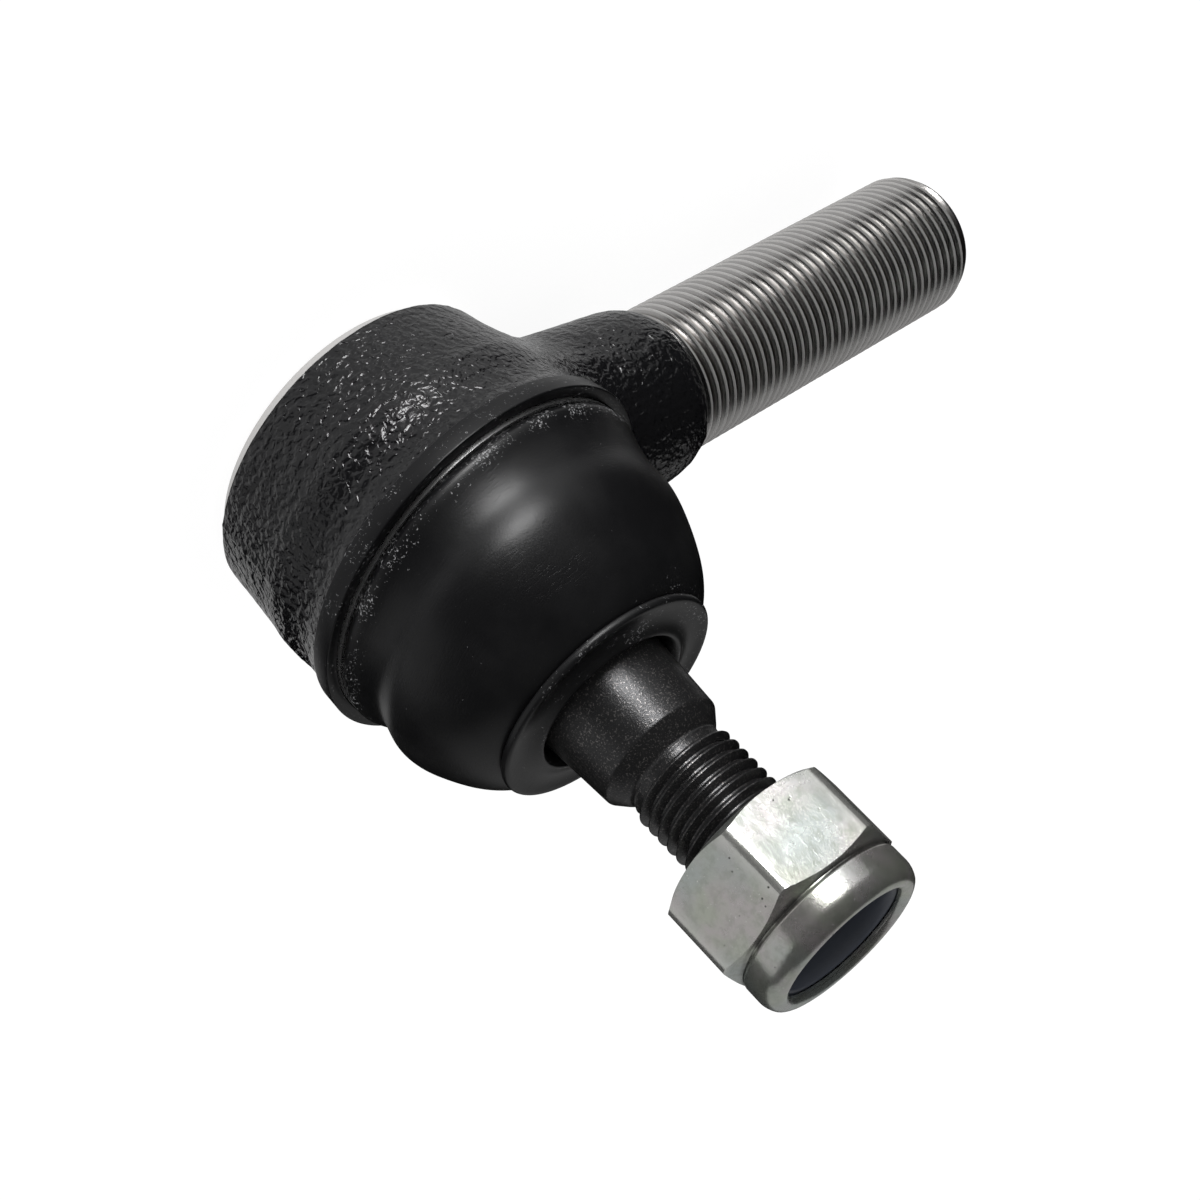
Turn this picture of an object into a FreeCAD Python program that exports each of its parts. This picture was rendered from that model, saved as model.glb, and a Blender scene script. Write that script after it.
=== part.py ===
import FreeCAD, Part
import math
import os
import Sketcher

# Tie rod end: a ball joint on a threaded shank.
#
# Frame: the origin is the centre of the housing's back face, +Z runs from the
# closed back towards the stud, and +X runs along the threaded shank.  The ball
# centre lies on the shank's axis.  The stud leans a few degrees in its socket,
# as a loose joint does when it lies on a bench, so the stud, its nut and the
# boot's lip are built upright and then turned about the ball centre.

doc = FreeCAD.newDocument("TieRodEnd")

# ---------------------------------------------------------------- dimensions

SIZES = {
    # socket of the housing, radii about Z and heights above the back face
    "ball_height": 13.9,
    "rim_radius": 19.2,
    "rim_bevel_radius": 21.1,
    "rim_bevel_height": 2.55,
    "belly_radius": 21.9,
    "belly_height": 9.0,
    "shoulder_start_radius": 22.8,
    "shoulder_start_height": 13.0,
    "shoulder_end_height": 18.0,
    "collar_radius": 24.05,
    "collar_start_height": 21.6,
    "front_radius": 24.3,
    "front_height": 24.2,
    "cover_lip_radius": 16.4,
    "cover_seat_radius": 17.9,
    "cavity_radius": 17.0,
    "cavity_top_height": 19.4,
    "opening_radius": 11.2,
    "opening_front_radius": 14.2,
    "boot_groove_inner": 19.6,
    "boot_groove_outer": 22.8,
    "boot_groove_floor": 21.8,
    # neck and shank, radii about the shank's axis, lengths along X
    "neck_root_start": 17.0,
    "neck_root_width": 27.6,
    "neck_root_height": 19.4,
    "neck_throat": 24.0,
    "neck_throat_width": 27.0,
    "neck_throat_height": 20.2,
    "neck_waist": 29.5,
    "neck_waist_width": 25.2,
    "neck_waist_height": 23.0,
    "neck_end": 34.5,
    "neck_end_width": 24.0,
    "neck_end_height": 23.2,
    "neck_round": 37.4,
    "neck_round_width": 22.5,
    "neck_round_height": 21.8,
    "neck_nose": 39.1,
    "neck_nose_width": 20.7,
    "neck_nose_height": 20.4,
    "shank_radius": 9.95,
    "shank_length": 95.0,
    "shank_chamfer": 1.5,
    "thread_pitch": 1.5,
    "thread_depth": 0.92,
    "crest_width": 0.19,
    # ball stud, heights above the housing's back face when it stands upright
    "ball_radius": 12.0,
    "ball_flat_drop": 8.8,
    "neck_waist_radius": 6.5,
    "waist_top_height": 26.5,
    "taper_start_height": 31.0,
    "taper_start_radius": 9.6,
    "taper_end_height": 56.0,
    "taper_end_radius": 8.05,
    "relief_start_height": 57.5,
    "relief_radius": 6.15,
    "relief_end_height": 59.2,
    "stud_thread_radius": 6.9,
    "stud_end_height": 79.5,
    "stud_chamfer": 1.1,
    # bearings, spring and end cover
    "bearing_gap": 0.04,
    "seat_gap": 0.05,
    "upper_bearing_mouth": 10.9,
    "lower_bearing_base": 5.6,
    "lower_bearing_bore": 8.9,
    "spring_inner": 10.2,
    "spring_outer": 16.2,
    "spring_gauge": 0.9,
    "cover_inner_height": 2.35,
    "cover_outer_height": 0.85,
    "cover_dish": 0.35,
    # rubber boot and its two rings
    "base_ring_wall": 0.55,
    "base_ring_top": 24.75,
    "boot_wall": 1.7,
    "boot_gap": 0.12,
    "lip_radius": 15.0,
    "lip_bottom": 45.3,
    "lip_top": 47.7,
    "lip_hole_radius": 9.9,
    "lip_throat_radius": 8.95,
    "lip_ring_bottom": 46.0,
    "lip_ring_top": 46.8,
    "lip_ring_inner": 10.4,
    "lip_ring_outer": 14.0,
    # lock nut with its nylon ring
    "nut_base_height": 70.1,
    "nut_across_flats": 22.0,
    "nut_hex_height": 11.3,
    "nut_height": 16.0,
    "nut_face_radius": 10.75,
    "nut_collar_radius": 10.85,
    "nut_bore_gap": 0.05,
    "nylon_base": 11.0,
    "nylon_top": 14.6,
    "nylon_radius": 9.3,
    "nylon_bore": 6.98,
    "nut_mouth_radius": 8.15,
    "lip_roll": 1.6,
    # how the stud leans at rest, in degrees
    "lean_about_x": 3.4,
    "lean_about_y": -3.6,
    "nut_turn": 129.8,
}

sheet = doc.addObject("Spreadsheet::Sheet", "Dim")
for row, (alias, number) in enumerate(SIZES.items(), start=1):
    sheet.set("A%d" % row, alias.replace("_", " "))
    sheet.set("B%d" % row, str(number))
    sheet.setAlias("B%d" % row, alias)
doc.recompute()


def size(expression):
    """The value of an expression in the sheet's aliases."""
    return float(sheet.evalExpression(expression))


def bound(expression):
    """The same expression, written as other objects have to write it."""
    words = []
    for word in expression.split():
        bare = word.strip("()")
        words.append(word.replace(bare, "Dim." + bare) if bare in SIZES else word)
    return " ".join(words)


# ------------------------------------------------------------ sketch helpers


def new_body(label):
    body = doc.addObject("PartDesign::Body", label)
    body.Label = label
    return body


def origin_part(body, role):
    return next(o for o in body.Origin.OriginFeatures if o.Role == role)


def new_sketch(body, name, plane, offset=None):
    sketch = body.newObject("Sketcher::SketchObject", name)
    sketch.AttachmentSupport = [(origin_part(body, plane), "")]
    sketch.MapMode = "FlatFace"
    if offset is not None:
        sketch.AttachmentOffset = offset
    return sketch


def bind(sketch, constraint, expression):
    index = sketch.addConstraint(constraint)
    sketch.setExpression("Constraints[%d]" % index, bound(expression))


def place_point(sketch, edge, end, across, up):
    """Ties one end of an edge to two expressions, measured from the origin."""
    for kind, expression in (("DistanceX", across), ("DistanceY", up)):
        if expression == "0":
            axis = -2 if kind == "DistanceX" else -1
            sketch.addConstraint(Sketcher.Constraint("PointOnObject", edge, end, axis))
        else:
            value = size(expression)
            bind(sketch, Sketcher.Constraint(kind, -1, 1, edge, end, value), expression)


def outline(sketch, corners):
    """A closed polygon whose corners are pairs of expressions."""
    points = [FreeCAD.Vector(size(across), size(up), 0) for across, up in corners]
    for start, stop in zip(points, points[1:] + points[:1]):
        sketch.addGeometry(Part.LineSegment(start, stop), False)
    count = len(corners)
    for edge in range(count):
        sketch.addConstraint(Sketcher.Constraint("Coincident", edge, 2, (edge + 1) % count, 1))
    for edge, (across, up) in enumerate(corners):
        place_point(sketch, edge, 1, across, up)
    return sketch


def round_sketch(sketch, radius):
    """A circle about the sketch's own origin."""
    sketch.addGeometry(Part.Circle(FreeCAD.Vector(), FreeCAD.Vector(0, 0, 1), size(radius)), False)
    sketch.addConstraint(Sketcher.Constraint("Coincident", 0, 3, -1, 1))
    bind(sketch, Sketcher.Constraint("Radius", 0, size(radius)), radius)
    return sketch


def spin(body, kind, name, sketch, axis="V_Axis"):
    """A full Revolution or Groove of a sketch about one of its axes."""
    feature = body.newObject("PartDesign::" + kind, name)
    feature.Profile = sketch
    feature.ReferenceAxis = (sketch, [axis])
    feature.Angle = 360
    return feature


def turned(body, name, corners, kind="Revolution"):
    """A piece, or a cut, turned about Z from its half outline."""
    sketch = outline(new_sketch(body, name + "Outline", "XZ_Plane"), corners)
    return spin(body, kind, name, sketch)


def ball_feature(body, kind, name, radius):
    sphere = body.newObject("PartDesign::" + kind, name)
    sphere.setExpression("Radius", bound(radius))
    sphere.AttachmentOffset = FreeCAD.Placement(
        FreeCAD.Vector(0, 0, size("ball_height")), FreeCAD.Rotation()
    )
    sphere.AttachmentSupport = [(origin_part(body, "XY_Plane"), "")]
    sphere.MapMode = "FlatFace"
    return sphere


def repeat(body, name, feature, direction, length, count):
    """A row of one feature along an origin axis."""
    pattern = body.newObject("PartDesign::LinearPattern", name)
    pattern.Originals = [feature]
    pattern.Direction = (origin_part(body, direction), [""])
    pattern.Length = length
    pattern.Occurrences = count
    body.Tip = pattern
    return pattern


def lean_placement(share=1.0):
    """The stud's lean about the ball centre, or a share of it."""
    about_x = FreeCAD.Rotation(FreeCAD.Vector(1, 0, 0), share * size("lean_about_x"))
    about_y = FreeCAD.Rotation(FreeCAD.Vector(0, 1, 0), share * size("lean_about_y"))
    centre = FreeCAD.Vector(0, 0, size("ball_height"))
    return FreeCAD.Placement(FreeCAD.Vector(), about_x.multiply(about_y), centre)


# ------------------------------------------------------------------- housing


def thread_cut(body, name, plane, along, across, first, offset=None):
    """One V of a thread, as a ring: across is the axis it turns about."""
    half = "( thread_pitch - crest_width ) / 2"
    corners = [
        (first, along),
        (first + " - thread_depth", along + " + " + half),
        (first + " + 0", along + " + thread_pitch - crest_width"),
    ]
    if across == "H_Axis":
        corners = [(b, a) for a, b in corners]
    sketch = outline(new_sketch(body, name + "Outline", plane, offset), corners)
    return spin(body, "Groove", name, sketch, across)


def oval_sketch(sketch, width, height):
    """An upright or lying oval about the sketch's own origin."""
    wide, tall = size(width) / 2, size(height) / 2
    oval = Part.Ellipse(FreeCAD.Vector(wide, 0, 0), FreeCAD.Vector(0, tall, 0), FreeCAD.Vector())
    sketch.addGeometry(oval, False)
    sketch.exposeInternalGeometry(0)
    sketch.addConstraint(Sketcher.Constraint("Coincident", 0, 3, -1, 1))
    sketch.addConstraint(Sketcher.Constraint("Horizontal", 1))
    bind(sketch, Sketcher.Constraint("Distance", 1, 2 * wide), width)
    bind(sketch, Sketcher.Constraint("Distance", 2, 2 * tall), height)
    return sketch


def neck_loft(body):
    """Forged neck: ovals along X that grow rounder towards the shank."""
    ovals = []
    for place in ("root", "throat", "waist", "end", "round", "nose"):
        along = "neck_root_start" if place == "root" else "neck_" + place
        offset = FreeCAD.Vector(0, size("ball_height"), size(along))
        spot = FreeCAD.Placement(offset, FreeCAD.Rotation())
        sketch = new_sketch(body, "Neck" + place.title(), "YZ_Plane", spot)
        ovals.append(oval_sketch(sketch, "neck_%s_width" % place, "neck_%s_height" % place))
    loft = body.newObject("PartDesign::AdditiveLoft", "Neck")
    loft.Profile = ovals[0]
    loft.Sections = ovals[1:]
    return loft


def make_housing():
    """Forged socket, neck and threaded shank in one piece."""
    body = new_body("housing")
    turned(body, "Socket", [
        ("0", "0"),
        ("rim_radius", "0"),
        ("rim_bevel_radius", "rim_bevel_height"),
        ("belly_radius", "belly_height"),
        ("shoulder_start_radius", "shoulder_start_height"),
        ("shoulder_start_radius", "shoulder_end_height"),
        ("collar_radius", "collar_start_height"),
        ("front_radius", "front_height"),
        ("0", "front_height"),
    ])
    neck_loft(body)
    lift = FreeCAD.Placement(FreeCAD.Vector(0, size("ball_height"), 0), FreeCAD.Rotation())
    shank = new_sketch(body, "ShankOutline", "XZ_Plane", lift)
    outline(shank, [
        ("neck_end", "0"),
        ("neck_end", "shank_radius"),
        ("shank_length - shank_chamfer", "shank_radius"),
        ("shank_length", "shank_radius - shank_chamfer"),
        ("shank_length", "0"),
    ])
    spin(body, "Revolution", "Shank", shank, "H_Axis")
    turned(body, "Cavity", [
        ("0", "0"),
        ("cover_lip_radius", "0"),
        ("cover_lip_radius", "cover_outer_height"),
        ("cover_seat_radius", "cover_outer_height"),
        ("cover_seat_radius", "cover_inner_height"),
        ("cavity_radius", "cover_inner_height"),
        ("cavity_radius", "cavity_top_height"),
        ("opening_radius", "cavity_top_height"),
        ("opening_front_radius", "front_height"),
        ("0", "front_height"),
    ], "Groove")
    turned(body, "BootGroove", [
        ("boot_groove_inner", "boot_groove_floor"),
        ("boot_groove_outer", "boot_groove_floor"),
        ("boot_groove_outer", "front_height"),
        ("boot_groove_inner", "front_height"),
    ], "Groove")
    start = "neck_nose + thread_pitch"
    groove = thread_cut(body, "ThreadRing", "XZ_Plane", start, "H_Axis", "shank_radius", lift)
    pitch = size("thread_pitch")
    count = int((size("shank_length - shank_chamfer") - size(start)) / pitch)
    repeat(body, "ShankThread", groove, "X_Axis", (count - 1) * pitch, count)
    return body


# ----------------------------------------------------------------- ball stud


def make_ball_stud():
    """Ball, waist, taper and thread, turned and ground from one bar."""
    body = new_body("ball_stud")
    turned(body, "Shaft", [
        ("0", "ball_height"),
        ("neck_waist_radius", "ball_height"),
        ("neck_waist_radius", "waist_top_height"),
        ("taper_start_radius", "taper_start_height"),
        ("taper_end_radius", "taper_end_height"),
        ("stud_thread_radius - 0.2", "relief_start_height"),
        ("relief_radius", "relief_start_height"),
        ("relief_radius", "relief_end_height"),
        ("stud_thread_radius", "relief_end_height"),
        ("stud_thread_radius", "stud_end_height - stud_chamfer"),
        ("stud_thread_radius - stud_chamfer", "stud_end_height"),
        ("0", "stud_end_height"),
    ])
    ball_feature(body, "AdditiveSphere", "Ball", "ball_radius")
    turned(body, "BallFlat", [
        ("0", "ball_height - ball_radius - 1"),
        ("ball_radius", "ball_height - ball_radius - 1"),
        ("ball_radius", "ball_height - ball_flat_drop"),
        ("0", "ball_height - ball_flat_drop"),
    ], "Groove")
    start = "relief_end_height + crest_width"
    groove = thread_cut(body, "ThreadRing", "XZ_Plane", start, "V_Axis", "stud_thread_radius")
    pitch = size("thread_pitch")
    count = int((size("stud_end_height - stud_chamfer") - size(start)) / pitch)
    repeat(body, "StudThread", groove, "Z_Axis", (count - 1) * pitch, count)
    body.Placement = lean_placement()
    return body


# ------------------------------------------------- bearings, spring and cover


def make_upper_bearing():
    """Moulded cup that holds the ball from the stud's side."""
    body = new_body("upper_bearing")
    turned(body, "Cup", [
        ("upper_bearing_mouth - 3", "ball_height + seat_gap"),
        ("cavity_radius - seat_gap", "ball_height + seat_gap"),
        ("cavity_radius - seat_gap", "cavity_top_height - seat_gap"),
        ("upper_bearing_mouth - 3", "cavity_top_height - seat_gap"),
    ])
    ball_feature(body, "SubtractiveSphere", "Seat", "ball_radius + bearing_gap")
    turned(body, "Mouth", [
        ("0", "ball_height"),
        ("upper_bearing_mouth", "ball_height"),
        ("upper_bearing_mouth", "cavity_top_height"),
        ("0", "cavity_top_height"),
    ], "Groove")
    return body


def make_lower_bearing():
    """Moulded ring that the spring presses against the ball from behind."""
    body = new_body("lower_bearing")
    turned(body, "Ring", [
        ("lower_bearing_bore", "lower_bearing_base"),
        ("cavity_radius - seat_gap", "lower_bearing_base"),
        ("cavity_radius - seat_gap", "ball_height - seat_gap"),
        ("lower_bearing_bore", "ball_height - seat_gap"),
    ])
    ball_feature(body, "SubtractiveSphere", "Seat", "ball_radius + bearing_gap")
    return body


def make_preload_spring():
    """Dished disc spring between the cover and the lower bearing."""
    body = new_body("preload_spring")
    foot = "cover_inner_height + seat_gap"
    top = "lower_bearing_base - seat_gap"
    turned(body, "Disc", [
        ("spring_outer", foot),
        ("spring_outer", foot + " + spring_gauge"),
        ("spring_inner", top),
        ("spring_inner", top + " - spring_gauge"),
    ])
    return body


def make_end_cover():
    """Pressed disc that the housing's rim is rolled over."""
    body = new_body("end_cover")
    turned(body, "Disc", [
        ("0", "cover_outer_height + cover_dish"),
        ("cover_lip_radius - 4", "cover_outer_height + cover_dish"),
        ("cover_lip_radius - 2.5", "cover_outer_height"),
        ("cover_seat_radius - seat_gap", "cover_outer_height"),
        ("cover_seat_radius - seat_gap", "cover_inner_height"),
        ("0", "cover_inner_height"),
    ])
    return body


# ----------------------------------------------------------- boot and rings

# The boot's outline when the stud is upright: height, outer radius, and the
# share of the stud's lean that the rubber follows at that height.
BOOT_STATIONS = [
    (24.95, 22.05, 0.00),
    (28.00, 21.80, 0.04),
    (31.00, 21.35, 0.20),
    (33.50, 21.45, 0.42),
    (36.00, 21.30, 0.70),
    (38.50, 20.55, 0.92),
    (40.50, 19.55, 1.00),
    (42.50, 18.05, 1.00),
    (44.00, 16.40, 1.00),
    (45.40, 14.00, 1.00),
]


def boot_loft(body, name, kind, inset, stations):
    """A loft through circles that lean more and more towards the lip."""
    rings = []
    for index, (height, radius, share) in enumerate(stations):
        base = FreeCAD.Placement(FreeCAD.Vector(0, 0, height), FreeCAD.Rotation())
        ring = new_sketch(body, "%sRing%d" % (name, index), "XY_Plane", lean_placement(share) * base)
        rings.append(round_sketch(ring, "%.2f - %s" % (radius, inset)))
    loft = body.newObject("PartDesign::" + kind, name)
    loft.Profile = rings[0]
    loft.Sections = rings[1:]
    return loft


def make_dust_boot():
    """Rubber boot: a bead in the housing's groove, a bellied wall and a lip."""
    body = new_body("dust_boot")
    bead_outer = "boot_groove_outer - base_ring_wall - boot_gap * 2"
    turned(body, "Bead", [
        ("boot_groove_inner + boot_gap", "boot_groove_floor + boot_gap"),
        (bead_outer, "boot_groove_floor + boot_gap"),
        (bead_outer, "base_ring_top + 0.2"),
        ("boot_groove_inner + boot_gap", "base_ring_top + 0.2"),
    ])
    boot_loft(body, "Skin", "AdditiveLoft", "0", BOOT_STATIONS)
    inside = [(h - 0.01 if i == 0 else h, r, s) for i, (h, r, s) in enumerate(BOOT_STATIONS[:-1])]
    boot_loft(body, "Hollow", "SubtractiveLoft", "boot_wall", inside)
    return body


def make_base_ring():
    """Steel band that clamps the boot's bead in its groove."""
    body = new_body("boot_base_ring")
    inner = "boot_groove_outer - seat_gap - base_ring_wall"
    turned(body, "Band", [
        (inner, "boot_groove_floor + seat_gap"),
        ("boot_groove_outer - seat_gap", "boot_groove_floor + seat_gap"),
        ("boot_groove_outer - seat_gap", "base_ring_top"),
        (inner, "base_ring_top"),
    ])
    return body


def make_lip_ring():
    """Flat steel ring that keeps the boot's lip round."""
    body = new_body("lip_ring")
    turned(body, "Washer", [
        ("lip_ring_inner", "lip_ring_bottom"),
        ("lip_ring_outer", "lip_ring_bottom"),
        ("lip_ring_outer", "lip_ring_top"),
        ("lip_ring_inner", "lip_ring_top"),
    ])
    body.Placement = lean_placement()
    return body


# ------------------------------------------------------------------ lock nut


def make_lock_nut():
    """Steel hexagon nut with a rolled collar for the nylon ring."""
    body = new_body("lock_nut")
    lift = FreeCAD.Placement(FreeCAD.Vector(0, 0, size("nut_base_height")), FreeCAD.Rotation())
    hexagon = new_sketch(body, "Hexagon", "XY_Plane", lift)
    corner_radius = size("nut_across_flats") / math.sqrt(3)
    corners = []
    for index in range(6):
        angle = math.radians(size("nut_turn") + 60 * index)
        corners.append(FreeCAD.Vector(math.cos(angle), math.sin(angle), 0) * corner_radius)
    for start, stop in zip(corners, corners[1:] + corners[:1]):
        hexagon.addGeometry(Part.LineSegment(start, stop), False)
    hexagon.addGeometry(Part.Circle(FreeCAD.Vector(), FreeCAD.Vector(0, 0, 1), corner_radius), True)
    for edge in range(6):
        hexagon.addConstraint(Sketcher.Constraint("Coincident", edge, 2, (edge + 1) % 6, 1))
        hexagon.addConstraint(Sketcher.Constraint("PointOnObject", edge, 1, 6))
        if edge:
            hexagon.addConstraint(Sketcher.Constraint("Equal", 0, edge))
    hexagon.addConstraint(Sketcher.Constraint("Coincident", 6, 3, -1, 1))
    bind(hexagon, Sketcher.Constraint("Radius", 6, corner_radius), "nut_across_flats / sqrt(3)")
    pad = body.newObject("PartDesign::Pad", "Hex")
    pad.Profile = hexagon
    pad.setExpression("Length", bound("nut_hex_height"))
    base = "nut_base_height"
    top = "nut_base_height + nut_hex_height"
    wide = "nut_across_flats"
    turned(body, "LowerCorners", [
        ("nut_face_radius", base),
        (wide, base),
        (wide, base + " + ( nut_across_flats - nut_face_radius ) * 0.577"),
    ], "Groove")
    turned(body, "UpperCorners", [
        ("nut_face_radius", top),
        (wide, top + " - ( nut_across_flats - nut_face_radius ) * 0.577"),
        (wide, top),
    ], "Groove")
    turned(body, "Collar", [
        ("0", top + " - 1"),
        ("nut_collar_radius", top + " - 1"),
        ("nut_collar_radius", base + " + nut_height - lip_roll"),
        ("nut_collar_radius - 0.45", base + " + nut_height - 0.6"),
        ("nut_collar_radius - 1.2", base + " + nut_height"),
        ("0", base + " + nut_height"),
    ])
    bore = "stud_thread_radius + nut_bore_gap"
    turned(body, "Bore", [
        ("0", base + " - 1"),
        (bore + " + 1", base + " - 1"),
        (bore + " + 0.6", base),
        (bore, base + " + 0.6"),
        (bore, base + " + nylon_base - seat_gap"),
        ("nylon_radius + seat_gap", base + " + nylon_base - seat_gap"),
        ("nylon_radius + seat_gap", base + " + nylon_top + seat_gap"),
        ("nut_mouth_radius", base + " + nylon_top + 0.35"),
        ("nut_mouth_radius", base + " + nut_height"),
        ("0", base + " + nut_height"),
    ], "Groove")
    body.Placement = lean_placement()
    return body


def make_nut_insert():
    """Nylon ring inside the nut's collar."""
    body = new_body("nut_insert")
    base = "nut_base_height"
    turned(body, "Ring", [
        ("nylon_bore", base + " + nylon_base"),
        ("nylon_radius", base + " + nylon_base"),
        ("nylon_radius", base + " + nylon_top"),
        ("nylon_bore + 0.7", base + " + nylon_top"),
        ("nylon_bore", base + " + nylon_top - 0.9"),
    ])
    body.Placement = lean_placement()
    return body


# --------------------------------------------------------------------- build


def add_boot_lip(body):
    """The boot's stiff lip, turned about the leaning stud's axis."""
    rings = (
        ("Lip", "Revolution", [
            ("lip_throat_radius", "lip_bottom - 1.2"),
            ("lip_throat_radius + 3.4", "lip_bottom - 1.2"),
            ("lip_radius - 1.3", "lip_bottom"),
            ("lip_radius", "lip_bottom + 0.8"),
            ("lip_radius", "lip_top - 1"),
            ("lip_radius - 0.8", "lip_top - 0.3"),
            ("lip_hole_radius", "lip_top"),
            ("lip_throat_radius", "lip_bottom + 0.4"),
        ]),
        ("LipSlot", "Groove", [
            ("lip_throat_radius - 1", "lip_ring_bottom - boot_gap"),
            ("lip_ring_outer + boot_gap", "lip_ring_bottom - boot_gap"),
            ("lip_ring_outer + boot_gap", "lip_ring_top + boot_gap"),
            ("lip_throat_radius - 1", "lip_ring_top + boot_gap"),
        ]),
        ("Throat", "Groove", [
            ("0", "lip_bottom - 4"),
            ("lip_throat_radius", "lip_bottom - 4"),
            ("lip_throat_radius", "lip_bottom + 0.4"),
            ("lip_hole_radius", "lip_top"),
            ("lip_hole_radius", "lip_top + 1"),
            ("0", "lip_top + 1"),
        ]),
    )
    upright = FreeCAD.Rotation(FreeCAD.Vector(1, 0, 0), 90)
    for name, kind, corners in rings:
        sketch = new_sketch(body, name + "Outline", "XY_Plane")
        sketch.AttachmentOffset = lean_placement() * FreeCAD.Placement(FreeCAD.Vector(), upright)
        spin(body, kind, name, outline(sketch, corners))


def check_everything():
    for item in doc.Objects:
        bad = [word for word in item.State if word in ("Invalid", "Error")]
        if bad:
            raise RuntimeError("%s is %s" % (item.Label, bad))


def write_steps(bodies):
    os.makedirs("parts", exist_ok=True)
    for body in bodies:
        shape = body.Shape
        if shape.isNull() or not shape.isValid():
            raise RuntimeError("%s has no valid shape" % body.Label)
        shape.exportStep("parts/%s.step" % body.Label)
        print("%-16s %d solid(s) %9.1f mm3" % (body.Label, len(shape.Solids), shape.Volume))


housing = make_housing()
ball_stud = make_ball_stud()
upper_bearing = make_upper_bearing()
lower_bearing = make_lower_bearing()
preload_spring = make_preload_spring()
end_cover = make_end_cover()
dust_boot = make_dust_boot()
add_boot_lip(dust_boot)
base_ring = make_base_ring()
lip_ring = make_lip_ring()
lock_nut = make_lock_nut()
nut_insert = make_nut_insert()

doc.recompute()
check_everything()
write_steps([
    housing, ball_stud, upper_bearing, lower_bearing, preload_spring, end_cover,
    dust_boot, base_ring, lip_ring, lock_nut, nut_insert,
])
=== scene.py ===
# %% [markdown]
# # A tie rod end
# This joint turns a car's wheel. A forged socket holds a ball, the ball's stud goes through the
# steering arm, and the threaded shank screws into the tie rod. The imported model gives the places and
# sizes, so this lesson starts by loading it, and then gives the same parts their finished shapes and
# surfaces.

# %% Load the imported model
import math

import bmesh
import bpy
import numpy as np
from mathutils import Matrix, Quaternion, Vector, noise


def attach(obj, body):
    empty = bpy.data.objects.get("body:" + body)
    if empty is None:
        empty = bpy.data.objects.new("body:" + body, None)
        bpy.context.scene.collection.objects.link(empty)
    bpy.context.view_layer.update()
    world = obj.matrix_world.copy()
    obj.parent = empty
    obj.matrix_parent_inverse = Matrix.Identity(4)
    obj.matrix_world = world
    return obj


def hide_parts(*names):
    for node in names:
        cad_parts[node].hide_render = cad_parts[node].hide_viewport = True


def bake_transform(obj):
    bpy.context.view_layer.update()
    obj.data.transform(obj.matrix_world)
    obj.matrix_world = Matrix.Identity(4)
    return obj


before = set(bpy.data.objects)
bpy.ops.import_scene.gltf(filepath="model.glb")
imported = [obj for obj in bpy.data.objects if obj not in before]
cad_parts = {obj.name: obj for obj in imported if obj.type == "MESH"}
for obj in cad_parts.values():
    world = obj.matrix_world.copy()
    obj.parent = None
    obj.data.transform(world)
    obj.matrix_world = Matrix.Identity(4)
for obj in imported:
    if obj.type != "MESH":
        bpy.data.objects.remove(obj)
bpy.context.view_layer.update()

MM = 0.001


# %% [markdown]
# ## Measures
# The pieces are drawn in millimetres, standing upright on the socket's axis, and are scaled to metres
# at the end. The stud leans a few degrees in its socket, as a loose joint does, so everything that
# goes with the stud is turned about the ball's centre after it has been drawn. Drawing it leaning
# would make every number harder to read.

# %% The ball's centre and the stud's lean
BALL = Vector((0, 0, 13.9))
LEAN = Matrix.Rotation(math.radians(3.4), 4, "X") @ Matrix.Rotation(math.radians(-3.6), 4, "Y")
TURN = 2 * math.pi


def about_ball(turn):
    """A turn about the ball's centre, in millimetres."""
    return Matrix.Translation(BALL) @ turn @ Matrix.Translation(-BALL)


LEANING = about_ball(LEAN)
ALONG_SHANK = Matrix.Translation(BALL) @ Matrix.Rotation(math.radians(90), 4, "Y")
print("stud leans", round(math.degrees(LEAN.to_quaternion().angle), 2), "degrees")

# %% [markdown]
# ## Drawing and turning
# Almost every part of this joint comes off a lathe, so one helper does most of the work. It lays down
# half of a part's outline as a few edges, rounds the corners that a real tool would round with the
# bevel operator, and spins the outline about Z. A cylinder could be cut and scaled to the same shape,
# but an outline is how a turner's drawing gives it.

# %% Helpers: outline, closed_shell, turned
CORNER_STEPS = 4


def outline(corners, closed):
    """Edges through (radius, height, rounding) corners."""
    bm = bmesh.new()
    verts = [bm.verts.new((radius, 0, height)) for radius, height, _ in corners]
    ends = verts[1:] + verts[:1] if closed else verts[1:]
    for pair in zip(verts, ends):
        bm.edges.new(pair)
    for vert, (_, _, rounding) in zip(verts, corners):
        if rounding:
            bmesh.ops.bevel(bm, geom=[vert], offset=rounding, offset_type="OFFSET",
                            segments=CORNER_STEPS, profile=0.5, affect="VERTICES", material=-1)
    return bm


def closed_shell(bm):
    """Merges what a spin leaves double and points the faces outwards."""
    bmesh.ops.remove_doubles(bm, verts=bm.verts[:], dist=1e-4)
    bmesh.ops.recalc_face_normals(bm, faces=bm.faces[:])
    return bm


def turned(corners, closed=True, steps=144):
    """A piece turned about Z from its half outline."""
    bm = outline(corners, closed)
    bmesh.ops.spin(bm, geom=bm.verts[:] + bm.edges[:], cent=(0, 0, 0), axis=(0, 0, 1),
                   dvec=(0, 0, 0), angle=TURN, steps=steps, use_merge=True)
    return closed_shell(bm)


washer = turned([(4, 0, 0.2), (6, 0, 0.2), (6, 1, 0.2), (4, 1, 0.2)])
print("a washer, as a trial:", len(washer.faces), "faces")
washer.free()

# %% [markdown]
# ## Joining, cutting and finishing a piece
# A bmesh is quick to shape, but modifiers such as Boolean and Remesh need an object, so a piece goes
# back and forth between the two. When it is done it is scaled to metres, gets its materials, and rides
# on the body that it moves with. Its open edges are counted, because a real part has none.

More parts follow.
